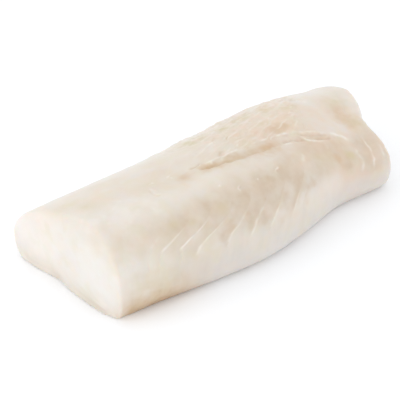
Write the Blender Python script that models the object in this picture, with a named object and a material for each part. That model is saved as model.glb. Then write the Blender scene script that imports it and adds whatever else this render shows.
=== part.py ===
"""A raw, skinless loin portion of Pacific cod, lying on its flat side.

It is one piece of flesh, so it is one closed solid. Rings that lean with the muscle flakes run from
the clean front cut (-X) to the torn, slanting rear end (+X). +Y is the thin, far side. The relief is
the stepped flakes, the torn seam between the two muscles, and the dip before the rear lobe.
All sizes are in millimetres, and the mesh is scaled to metres when it is made.
"""

import math

import bmesh
import bpy
import numpy as np

MM = 0.001

# Lengthwise laws: evenly spaced values from the front cut to the rear end.
FRONT_X = -75.0
LENGTH = 150.0
NEAR_REACH = (29.1, 32.0, 35.0, 36.3, 33.5, 29.5, 30.5)
FAR_REACH = (31.0, 28.3, 28.3, 30.0, 32.0, 32.5, 30.0)
CREST_HEIGHT = (30.5, 31.0, 31.0, 31.0, 30.0, 28.0, 22.5)
CREST_Y = (-11.0, -11.0, -12.0, -12.0, -10.0, -4.0, 3.0)
# Where the rear end lies, at evenly spaced places from the near side to the far side.
REAR_SPAN = 30.0
REAR_EDGE = (61.0, 62.0, 64.0, 71.0, 76.5, 76.5, 72.0)

# The cross-section. An edge curls under, the near one less at the front cut than from NEAR_CURL_IN of the
# length on. At its foot it is FOOT_TURN round from level. How round the far side is changes lengthwise.
NEAR_WAIST = 9.0
FAR_WAIST = 9.0
FRONT_UNDERCUT = 2.7
NEAR_UNDERCUT = 4.5
NEAR_CURL_IN = 0.1
FAR_UNDERCUT = 5.0
FOOT_TURN = 0.44
NEAR_ROUND = 2.3
FAR_ROUND = (1.82, 2.05, 2.05, 2.05, 2.05, 2.05, 2.05)

# How the ends round over, squarer at the foot than at the top, and the waves of the torn rear end:
# turns across, turns up, height.
FRONT_ROUND = 5.5
FRONT_FOOT_SQUARE = 16.0
FRONT_TOP_SQUARE = 2.8
REAR_ROUND = 9.0
REAR_SQUARE = 4.5
END_SHARE = 0.985
MIDDLE_SHARE = 0.45
TEAR_PITCH = 11.0
TEAR_WAVES = ((0.8, 0.5, 1.1), (0.5, -1.1, 0.5))
TEAR_FADE = 12.0

# The muscle flakes: where their front edges cross the near shoulder, how far an edge leans at evenly
# spaced places from the near waist (0) over the seam (1) to the far waist (2), and how high its step
# stands there. Evenly spaced shares from the front cut to the rear end say how much of the step shows,
# and how much of the lean the near muscle has. A step rises over the first share of its flake, and
# its resting share lies under the plain surface.
FLAKE_EDGES = (-96, -85, -75, -64, -53, -43, -34, -25, -13, -3, 7, 16, 26, 36, 45, 53, 60, 68, 78)
FLAKE_LEAN = (-15.0, -15.0, 0.0, 0.0, -8.0, 10.0, 18.0, 22.0, 21.0)
FLAKE_STEP = (0.1, 0.6, 0.6, 0.15, 0.3, 0.6, 0.4, 0.3, 0.15)
FLAKE_SHOW = (0.1, 0.7, 1.0, 1.0, 0.9, 0.8, 0.5)
LEAN_SHARE = (0.0, 0.8, 1.0, 0.85, 0.6, 0.4, 0.1)
STEP_SHARE = 0.14
STEP_REST = 0.4
FAR_BLEND = 0.4
LEAST_LEAN = -16.0
MOST_LEAN = 6.0

# The torn seam, at evenly spaced places from the front cut to the rear end.
SEAM_Y = (3.0, -0.5, -6.0, -7.0, -7.0, -11.0, -13.3, -14.1, -14.0, -17.0, -20.0, -22.0, -24.0)
SEAM_DEPTH = (0.0, 0.6, 0.2, 0.8, 0.9, 1.9, 0.9, 1.2, 1.7, 2.0, 0.3, 0.0, 0.0)
SEAM_WIDTH = 1.3
LIP_OFFSET = 3.2
LIP_SHARE = 0.35

# Broad dips (-) and swells (+) of the top: middle x, middle y, reach in x, reach in y, height.
SWELLS = (
    (52.0, -2.0, 6.0, 12.0, -1.0),
    (64.0, 1.0, 5.0, 9.0, 0.6),
    (10.0, 21.0, 5.0, 5.0, -0.8),
    (-30.0, -3.0, 13.0, 4.0, -0.4),
)

# How finely the mesh is cut.
DENSE_STATIONS = 241
PROFILE_SAMPLES = 90
BODY_RINGS = 78
FRONT_RINGS = 7
REAR_RINGS = 11
END_FADE = 0.04
NEAR_COLUMNS = 25
FAR_COLUMNS = 21
EDGE_COLUMNS = 3
FLOOR_COLUMNS = 9
SEAM_CROWDING = 1.3


def along(values, u):
    """Reads a smooth curve through evenly spaced values at u, from 0 to 1."""
    points = np.asarray(values, float)
    place = np.clip(u, 0.0, 1.0) * (len(points) - 1)
    first = np.minimum(place.astype(int), len(points) - 2)
    t = place - first
    padded = np.concatenate([[2 * points[0] - points[1]], points, [2 * points[-1] - points[-2]]])
    before, here, there, after = (padded[first + k] for k in range(4))
    bend = 2 * before - 5 * here + 4 * there - after
    twist = 3 * (here - there) + after - before
    return here + 0.5 * t * (there - before + t * (bend + t * twist))


def smooth(t):
    """Rises from 0 to 1 with level ends."""
    t = np.clip(t, 0.0, 1.0)
    return t * t * (3 - 2 * t)


def top_profile(u):
    """(y, z) of the top of one section, from the near waist over the crest to the far waist."""
    near = along(NEAR_REACH, u)
    far = along(FAR_REACH, u)
    crest = along(CREST_HEIGHT, u)
    crest_y = along(CREST_Y, u)
    far_round = along(FAR_ROUND, u)
    up = np.linspace(0.0, math.pi / 2, PROFILE_SAMPLES)
    y_near = crest_y - (near + crest_y) * np.cos(up) ** (2 / NEAR_ROUND)
    z_near = NEAR_WAIST + (crest - NEAR_WAIST) * np.sin(up) ** (2 / NEAR_ROUND)
    down = up[-2::-1]
    y_far = crest_y + (far - crest_y) * np.cos(down) ** (2 / far_round)
    z_far = FAR_WAIST + (crest - FAR_WAIST) * np.sin(down) ** (2 / far_round)
    return np.append(y_near, y_far), np.append(z_near, z_far)


def top_columns():
    """Where the mesh's columns lie: 0 at the near waist, 1 at the seam and 2 at the far waist."""
    near = 1 - np.linspace(1.0, 0.0, NEAR_COLUMNS, endpoint=False) ** SEAM_CROWDING
    far = 1 + np.linspace(0.0, 1.0, FAR_COLUMNS + 1) ** SEAM_CROWDING
    return np.append(near, far)


def underside(near, far, near_undercut):
    """(y, z) from the far waist down to the flat floor and up to the near waist, without its ends."""
    turn = np.linspace(FOOT_TURN, math.pi / 2, EDGE_COLUMNS + 1)
    inward = (1 - np.sin(turn)) / (1 - math.sin(FOOT_TURN))
    up = 1 - np.cos(turn) / math.cos(FOOT_TURN)
    floor = np.linspace(0.0, 1.0, FLOOR_COLUMNS + 1)[1:]
    across = near_undercut - near - far + FAR_UNDERCUT
    y = [far - FAR_UNDERCUT * inward[-2::-1], far - FAR_UNDERCUT + across * floor,
         near_undercut * inward[1:-1] - near]
    z = [FAR_WAIST * up[-2::-1], np.zeros(FLOOR_COLUMNS), NEAR_WAIST * up[1:-1]]
    return np.concatenate(y), np.concatenate(z)


def section(u):
    """The points of one section, and which way is out of the flesh at each of them."""
    y, z = top_profile(u)
    run = np.append(0.0, np.cumsum(np.hypot(np.diff(y), np.diff(z))))
    seam_run = np.interp(along(SEAM_Y, u), y, run)
    columns = np.interp(top_columns(), (0.0, 1.0, 2.0), (0.0, seam_run, run[-1]))
    slope = np.arctan2(np.gradient(z, run), np.gradient(y, run))
    lean = np.interp(columns, run, slope)
    near_undercut = FRONT_UNDERCUT + (NEAR_UNDERCUT - FRONT_UNDERCUT) * smooth(u / NEAR_CURL_IN)
    under_y, under_z = underside(along(NEAR_REACH, u), along(FAR_REACH, u), near_undercut)
    out_y = np.append(-np.sin(lean), np.zeros(len(under_y)))
    out_z = np.append(np.cos(lean), np.zeros(len(under_y)))
    return (np.append(np.interp(columns, run, y), under_y), np.append(np.interp(columns, run, z), under_z),
            out_y, out_z)


def station_x(u, y):
    """How far along the loin a point lies, where the sections turn towards the slanting rear end."""
    rear = along(REAR_EDGE, (y + REAR_SPAN) / (2 * REAR_SPAN)) - REAR_ROUND
    front = FRONT_X + FRONT_ROUND
    return front + u * (rear - front)


def flakes(x, u, place):
    """Height of the flake steps: each flake rises sharply at its front edge and falls off slowly."""
    share = along(LEAN_SHARE, u)
    share = share + (1 - share) * smooth((place - 1) / FAR_BLEND)
    edge = x - share * along(FLAKE_LEAN, place / 2)
    phase = np.interp(edge, FLAKE_EDGES, range(len(FLAKE_EDGES)))
    phase = phase - np.floor(phase)
    rise = smooth(phase / STEP_SHARE)
    fall = smooth((1 - phase) / (1 - STEP_SHARE))
    return along(FLAKE_SHOW, u) * along(FLAKE_STEP, place / 2) * (rise * fall - STEP_REST)


def seam(u, y):
    """Height of the torn seam's groove, and of the lip that stands along its far side."""
    away = y - along(SEAM_Y, u)
    depth = np.maximum(along(SEAM_DEPTH, u), 0.0)
    groove = np.exp(-((away / SEAM_WIDTH) ** 2))
    lip = np.exp(-(((away - LIP_OFFSET) / SEAM_WIDTH) ** 2))
    return depth * (LIP_SHARE * lip - groove)


def swells(x, y):
    """Height of the broad dips and swells of the top."""
    return sum(height * np.exp(-(((x - mid_x) / reach_x) ** 2) - ((y - mid_y) / reach_y) ** 2)
               for mid_x, mid_y, reach_x, reach_y, height in SWELLS)


def body():
    """The rings between the two ends: leaned with the flakes, then raised and sunk by the relief."""
    stations = np.linspace(0.0, 1.0, DENSE_STATIONS)
    dense = np.array([section(u) for u in stations])
    count = NEAR_COLUMNS + FAR_COLUMNS + 1
    place = np.append(top_columns(), np.linspace(2.0, 0.0, dense.shape[2] - count))
    lean = np.clip(along(FLAKE_LEAN, place / 2), LEAST_LEAN, MOST_LEAN) / LENGTH
    rings = np.linspace(0.0, 1.0, BODY_RINGS)
    share = along(LEAN_SHARE, rings) * smooth((1 - rings) / END_FADE)
    fade = smooth(rings / END_FADE) * smooth((1 - rings) / END_FADE)
    out = np.zeros((BODY_RINGS, dense.shape[2], 3))
    for column in range(dense.shape[2]):
        u = rings + lean[column] * share
        y, z, out_y, out_z = (np.interp(u, stations, dense[:, k, column]) for k in range(4))
        x = station_x(u, y)
        if column < count:
            height = fade * (flakes(x, u, place[column]) + seam(u, y) + swells(x, y))
            y = y + out_y * height
            z = z + out_z * height
        out[:, column] = np.stack([x, y, z], axis=1)
    return out


def end_rings(ring, u, length, foot_square, top_square, count):
    """Rings that close the end at u: they shrink towards its middle as they move length further out."""
    square = foot_square + (top_square - foot_square) * ring[:, 2] / ring[:, 2].max()
    middle_y = (ring[:, 1].max() + ring[:, 1].min()) / 2
    middle_z = ring[:, 2].max() * MIDDLE_SHARE
    out = []
    for t in np.linspace(0.0, END_SHARE, count + 1)[1:] * math.pi / 2:
        shrink = math.cos(t) ** (2 / foot_square)
        y = middle_y + (ring[:, 1] - middle_y) * shrink
        z = middle_z + (ring[:, 2] - middle_z) * shrink
        out.append(np.stack([station_x(u, y) + length * (1 - shrink**square) ** (1 / square), y, z], axis=1))
    return out


def tear(rings):
    """Roughens the rear end with slanting ridges, as the flakes part there."""
    for number, ring in enumerate(rings):
        y, z = 2 * math.pi * ring[:, 1:].T / TEAR_PITCH
        wave = sum(height * np.sin(across * y + up * z) for across, up, height in TEAR_WAVES)
        ring[:, 0] += wave * smooth((number + 1) / len(rings)) * smooth(ring[:, 2] / TEAR_FADE)
    return rings


def surface():
    """Every ring as points, from the middle of the front cut to the middle of the rear end."""
    rings = body()
    front = end_rings(rings[0], 0.0, -FRONT_ROUND, FRONT_FOOT_SQUARE, FRONT_TOP_SQUARE, FRONT_RINGS)
    rear = tear(end_rings(rings[-1], 1.0, REAR_ROUND, REAR_SQUARE, REAR_SQUARE, REAR_RINGS))
    points = np.array(front[::-1] + list(rings) + rear)
    low = points.min(axis=(0, 1))
    high = points.max(axis=(0, 1))
    return points - ((low[0] + high[0]) / 2, (low[1] + high[1]) / 2, low[2])


def flesh():
    """Moist, pale cream flesh."""
    material = bpy.data.materials.new("flesh")
    material.use_nodes = True
    shader = material.node_tree.nodes["Principled BSDF"]
    shader.inputs["Base Color"].default_value = (0.80, 0.72, 0.62, 1.0)
    shader.inputs["Roughness"].default_value = 0.38
    shader.inputs["Metallic"].default_value = 0.0
    material.diffuse_color = (0.80, 0.72, 0.62, 1.0)
    return material


def cod_loin():
    """The whole loin as one closed mesh."""
    mesh = bmesh.new()
    loops = [[mesh.verts.new(point * MM) for point in ring] for ring in surface()]
    for first, second in zip(loops, loops[1:]):
        for i in range(len(first)):
            j = (i + 1) % len(first)
            mesh.faces.new((first[i], first[j], second[j], second[i]))
    for loop in (loops[0], loops[-1]):
        middle = mesh.verts.new(sum((vertex.co for vertex in loop[1:]), loop[0].co.copy()) / len(loop))
        for i in range(len(loop)):
            mesh.faces.new((loop[i], loop[(i + 1) % len(loop)], middle))
    bmesh.ops.recalc_face_normals(mesh, faces=mesh.faces)
    data = bpy.data.meshes.new("cod_loin")
    mesh.to_mesh(data)
    mesh.free()
    data.shade_smooth()
    data.materials.append(flesh())
    loin = bpy.data.objects.new("cod_loin", data)
    bpy.context.scene.collection.objects.link(loin)


def main():
    for old in list(bpy.data.objects):
        bpy.data.objects.remove(old)
    cod_loin()


main()
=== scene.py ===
# A raw, skinless cod loin portion lying on a plain pale floor.
# The loin is one piece: a fine grid is wrapped round it, its flakes and tears are carved, and the
# zones of its flesh are marked on the surface for the material to read.
import math

import bpy
import numpy as np
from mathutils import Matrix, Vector, noise


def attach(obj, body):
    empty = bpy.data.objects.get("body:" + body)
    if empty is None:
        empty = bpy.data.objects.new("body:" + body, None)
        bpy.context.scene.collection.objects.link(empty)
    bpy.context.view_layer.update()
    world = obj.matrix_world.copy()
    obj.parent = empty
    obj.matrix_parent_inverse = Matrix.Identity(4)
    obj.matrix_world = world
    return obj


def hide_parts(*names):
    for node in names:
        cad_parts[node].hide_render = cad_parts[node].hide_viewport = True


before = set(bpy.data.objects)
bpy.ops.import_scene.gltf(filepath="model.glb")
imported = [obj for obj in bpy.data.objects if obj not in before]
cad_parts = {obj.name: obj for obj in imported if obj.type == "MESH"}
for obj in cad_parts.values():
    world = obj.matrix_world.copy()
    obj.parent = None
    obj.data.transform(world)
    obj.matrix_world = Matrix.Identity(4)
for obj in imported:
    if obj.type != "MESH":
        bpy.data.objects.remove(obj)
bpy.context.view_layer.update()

mm = 0.001  # the dictionaries are in millimetres

# the plain form of the loin, with the same sizes as its solid
loin = {
    "middle": (1.38, -1.88),  # the middle of the loin, in the form's own x and y
    "frontX": -75.0,
    "nearReach": (29.1, 32.0, 35.0, 36.3, 33.5, 29.5, 30.5),
    "farReach": (31.0, 28.3, 28.3, 30.0, 32.0, 32.5, 30.0),
    "crestHeight": (30.5, 31.0, 31.0, 31.0, 30.0, 28.0, 22.5),
    "crestY": (-11.0, -11.0, -12.0, -12.0, -10.0, -4.0, 3.0),
    "rearSpan": 30.0,
    "rearEdge": (61.0, 62.0, 64.0, 71.0, 76.5, 76.5, 72.0),
    "waist": 9.0,
    "nearUndercut": (2.7, 4.5),  # at the front cut, and behind the curl-in
    "curlIn": 0.1,  # the share of the length over which the near edge comes to curl in fully
    "farUndercut": 5.0,
    "footTurn": 0.44,  # how far round the curl of an edge is where it meets the floor
    "nearRound": 2.3,
    "farRound": (1.82, 2.05, 2.05, 2.05, 2.05, 2.05, 2.05),
    "frontRound": 5.5,
    "frontSquare": (16.0, 2.8),  # at the foot and at the top
    "rearRound": 9.0,
    "rearSquare": (4.5, 4.5),
    "rimTurn": 0.3,  # how far round a rounded rim its rings go, of a half turn
    "middleShare": 0.45,  # how high the middle of an end face is, of the height there
    "length": 150.0,
    "seamY": (3, -0.5, -6, -7, -7, -11, -13.3, -14.1, -14, -17, -20, -22, -24),
    # the rings lean with the flakes: how far, from the near waist to the far one, and how much of
    # it at evenly spaced places of the length
    "ringLean": (-16.0, -15.0, 0.0, 0.0, -8.0, 6.0, 6.0, 6.0, 6.0),
    "leanShare": (0.0, 0.8, 1.0, 0.85, 0.6, 0.4, 0.1),
    "swells": (  # middle x, middle y, reach in x, reach in y, height
        (50.6, -0.1, 6.0, 12.0, -1.0),
        (62.6, 2.9, 5.0, 9.0, 0.6),
        (8.6, 22.9, 5.0, 5.0, -0.8),
        (-31.4, -1.1, 13.0, 4.0, -0.4),
        (45.3, 16.5, 1.6, 4.0, -0.7),
        (-30.5, -7.2, 4.0, 1.6, -0.35),
    ),
    "stations": 181,
    "profileSamples": 200,
    "bodyRings": 300,
    "frontRings": (12, 18),  # over the rounded rim, then across the face
    "rearRings": (18, 20),
    "nearColumns": 112,
    "farColumns": 96,
    "nearEdge": 20,
    "farEdge": 12,
    "floorColumns": 8,
    "crowding": 1.15,  # of the columns towards the seam
    "endFade": 0.04,
    "weld": 0.002,
}

# the muscle flakes: thin steps that lean back as they climb the near side. A route gives x where the
# front edge of a flake crosses each place, from the near waist (0) over the seam (1) to the far one (2).
flakes = {
    "routePlaces": (0.15, 0.2, 0.25, 0.3, 0.35, 0.4, 0.45, 0.5),
    "routes": (
        (-63.5, -63.2, -62.8, -61.9, -60.1, -57.5, -54.8, -52.2),
        (-59.8, -59.2, -58.4, -57.0, -53.7, -50.2, -46.0, -42.5),
        (-51.8, -51.2, -50.5, -49.4, -45.0, -39.5, -35.8, -33.2),
        (-45.2, -44.2, -42.7, -39.0, -33.0, -29.0, -26.0, -24.0),
        (-32.2, -31.4, -29.6, -26.3, -23.7, -21.4, -19.2, -17.0),
        (-23.3, -21.3, -19.6, -18.0, -16.0, -13.7, -11.5, -9.0),
        (-13.8, -12.6, -10.9, -8.8, -6.6, -4.8, -3.0, -0.5),
        (-2.6, -1.2, 0.6, 2.3, 4.2, 6.2, 8.2, 10.5),
    ),
    "routeShow": (0.5, 0.8, 1.1, 0.9, 0.6, 0.7, 0.6, 0.4),
    "routeFoot": (0.355, 0.31, 0.29, 0.2, 0.2, 0.19, 0.2, 0.22),  # the places where its pale line starts
    "routeTop": (0.43, 0.44, 0.415, 0.36, 0.4, 0.4, 0.35, 0.36),  # and ends
    "before": 3,  # flakes before the first route
    "after": 7,  # and after the last one
    "pitch": 10.0,
    "spread": 0.06,  # how much of a step shows there
    "faintAfter": 2,
    "leanPlaces": (0.0, 0.15, 0.5, 0.6, 0.8, 1.0, 1.25, 1.5, 1.75, 2.0),
    "lean": (-1.5, 0.0, 0.0, 2.5, 2.0, -5.0, 9.0, 16.0, 20.0, 20.0),  # from the nearest end of the route
    "stepPlaces": (0.0, 0.1, 0.2, 0.26, 0.36, 0.44, 0.55, 0.9, 1.1, 1.4, 1.8, 2.0),
    "step": (0.03, 0.05, 0.2, 0.26, 0.22, 0.1, 0.03, 0.03, 0.08, 0.1, 0.1, 0.1),
    "riseShare": 0.08,
    "rest": 0.4,  # the share of a step that lies below the plain form
    "wander": (0.3, 0.15),  # with the cloudy and the patchy noise
    "septumWide": 0.6,  # the thin pale skin between two flakes
    "septumHigh": 0.12,
    "septumShow": (0.8, 0.6, 0.2),
    "footFade": (-0.03, 0.02),
    "topFade": (-0.05, 0.03),
}

# the seam where the far muscle was pulled off the near one: an open trough, from its near edge to its
# far edge (x, y), with deeper slits along it
trough = {
    "near": ((-24, -5.2), (-19, -8.6), (-12, -9.7), (-6.6, -11.4), (-0.7, -11.4), (6, -12.2), (14, -12.2),
             (19, -13.3), (24, -14.4), (30, -15.6), (38, -15.4)),
    "far": ((-24, -4.4), (-20.9, -5.4), (-15, -6.0), (-8.6, -6.0), (-3.4, -5.8), (0.6, -6.8), (7.2, -5.8),
            (13, -6.8), (20, -7.4), (25.6, -9.4), (31.8, -11.2), (38, -14.4)),
    "deep": 0.3,
    "floor": (0.35, 0.65, 0.35),  # its depth everywhere, towards its near edge, and in patches
    "rawness": (0.12, 0.35, 0.6),
    "soft": 0.8,
    "ragged": 0.8,
    "narrowest": 0.5,
    "fromPlace": 0.6,
    "fromHeight": 15.0,
    "frontFade": (-24.0, -19.0),
    "rearFade": (34.0, 40.0),
    "rawFade": (-6.0, 4.0),
    "rawRear": 0.55,  # how raw the rear half looks, of the front half
    "lipHigh": 0.2,
    "lipOff": 0.4,
    "lipWide": 0.55,
    "lipShow": (0.5, 1.2),
    "lipPale": 0.8,
    "lipFront": (-23.0, -18.0),
    "lipRear": (30.0, 38.0),
}
tears = (
    {"path": ((-44, -5), (-45.2, -7.2), (-44.9, -9.4), (-43.8, -11.5)),
     "deep": 0.12, "wide": 0.5, "lip": 0.12},
    {"path": ((-24.6, -3.9), (-23.2, -4.6), (-21.2, -4.3), (-19, -3)),
     "deep": 0.35, "wide": 0.45, "lip": 0},
    {"path": ((-22.8, -6), (-20.6, -7.2), (-18.6, -8), (-15.7, -8.6), (-11, -9.8), (-6.9, -11.3)),
     "deep": 0.45, "wide": 0.7, "lip": 0},
    {"path": ((-6.9, -11.4), (-1.6, -11.2), (2.1, -11.4), (5.8, -11.8), (8.9, -11.8)),
     "deep": 0.3, "wide": 0.5, "lip": 0},
    {"path": ((13.5, -11.4), (15.2, -11.4), (18.8, -12.2), (21.8, -13.2), (23.6, -14)),
     "deep": 0.35, "wide": 0.6, "lip": 0},
    {"path": ((23.6, -8.6), (25.8, -11), (27.8, -12.1), (32.4, -12.9), (36, -13.8)),
     "deep": 0.36, "wide": 0.7, "lip": 0},
    {"path": ((27.5, -14), (30.9, -14.5), (33.7, -14.8), (37.6, -14.5)),
     "deep": 0.35, "wide": 0.5, "lip": 0},
    {"path": ((0.1, 4.1), (1.8, 5.2), (3.9, 6)), "deep": 0.4, "wide": 0.4, "lip": 0.2},
    {"path": ((-5.5, 7.1), (-3, 7.6), (-0.1, 8.6)), "deep": 0.35, "wide": 0.4, "lip": 0.2},
    {"path": ((-7.3, -1.9), (-8.8, -3.4), (-10.4, -5.2)), "deep": 0.35, "wide": 0.8, "lip": 0},
)
tearEdge = {
    "lipAway": 1.8,  # where the raised lip of a tear runs, in widths of the tear
    "lipWide": 0.8,
    "rawWide": 1.4,
    "palePerHigh": 2.5,  # how pale a lip or a thread is for each millimetre of its height
}

# thin pale threads of tissue on the rear of the near muscle, and the lips of the torn flesh
threads = (
    {"path": ((43, -19.5), (42.9, -22.8), (42.9, -24.4), (42.7, -25.7), (41.9, -26.6), (40.5, -27)),
     "high": 0.3, "wide": 0.75},
    {"path": ((51, -15.4), (50.8, -17.8), (50, -20.2), (49.8, -22.5), (48.9, -25), (48.3, -26.1),
              (47.3, -27.2), (45.6, -27.8)), "high": 0.35, "wide": 0.5},
    {"path": ((55.2, -21.6), (54.7, -23.7), (54.1, -25.3), (53.8, -26.7)), "high": 0.3, "wide": 0.5},
    {"path": ((36, -12), (38.8, -13.5), (41.4, -14.7), (42.6, -16.1), (43.2, -18.3)),
     "high": 0.4, "wide": 0.9},
    {"path": ((23.5, -10.7), (24.2, -12.1), (24.7, -13.6), (26.1, -14.6), (29.8, -15.6), (34.3, -16.3)),
     "high": 0.4, "wide": 0.6},
    {"path": ((17.3, -19), (15.7, -20.8), (14, -22.4)), "high": 0.2, "wide": 0.9},
    {"path": ((31.7, -17.3), (30.6, -18.4), (29.8, -19.9)), "high": 0.2, "wide": 0.6},
    {"path": ((13.8, -12.2), (15.6, -12.8), (18.4, -13.4)), "high": 0.25, "wide": 0.7},
    {"path": ((48.6, 10.1), (47.1, 9.5), (44.6, 8.8)), "high": 0.2, "wide": 0.5},
    {"path": ((-44.6, -4.6), (-43.8, -7), (-43.6, -9)), "high": 0.2, "wide": 0.5},
    {"path": ((-52.7, -6.2), (-52.8, -7.5), (-51.3, -9.3)), "high": 0.15, "wide": 0.6},
)
threadLook = {"rise": 0.6, "ends": 0.3, "ragged": 0.5, "show": (0.75, 0.7)}

# the far muscle's flakes, torn along a low slant: ragged streaks over its top
streaks = {
    "way": (0.93, 0.37),
    "frontFade": (-22.0, -8.0),
    "rearFade": (32.5, 39.5),
    "rearSlant": 0.6,  # how far the smooth rear part is set back for each millimetre to the far side
    "seamFade": (-1.0, 1.5),
    "fromPlace": 0.9,
    "pitch": 4.3,
    "wander": (0.9, 0.5),
    "riseShare": 0.8,
    "rest": 0.5,
    "high": 0.1,
    "show": (0.6, 1.0),
    "grainHigh": 0.28,
    "grainSize": (5.0, 2.0, 3.0),
    "grainShift": 41.0,
    "paleLine": (0.72, 0.12),  # where the pale edge of a streak is, and its width, in pitches
    "paleShow": (0.4, 1.5),
    "paleShare": 0.5,
}
flecks = {  # small raised shreds, painted pale for their tissue and as a painted highlight for the glints they catch: x, y
    "spots": (
        (-20.9, -5.1), (-13.8, -5.8), (-11.7, -7.2), (-0.1, -3.1), (0.6, -6.6), (6.6, -6.0), (13.3, -7.0),
        (13.2, 5.1), (24.8, 6.4), (-5.0, 5.0), (-40.8, -2.4), (-33.2, -3.2), (-33.0, -4.4), (-15.9, -6.2),
        (1.0, -22.2), (-23.5, -19.0), (-17.7, -22.9), (-9.2, -23.1), (1.7, -1.2), (9.0, 3.0), (17.4, 8.9),
        (33.5, 4.1), (-7.4, -4.8), (20.0, 3.5), (4.4, 1.0), (38.5, 7.6),
    ),
    "seed": 7,
    "long": (1.6, 4.2),
    "turn": 0.25,
    "bend": 0.25,
    "high": (0.12, 0.3),
    "wide": 0.38,
    "ragged": 1.3,
    "ends": 0.4,
    "hollowAway": 0.9,  # a low hollow runs beside each shred
    "hollowWide": 0.6,
    "hollowDeep": 0.5,
    # painted highlight: how pale the shreds are painted, for their tissue and for their glints
    "pale": 0.8,
}

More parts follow.
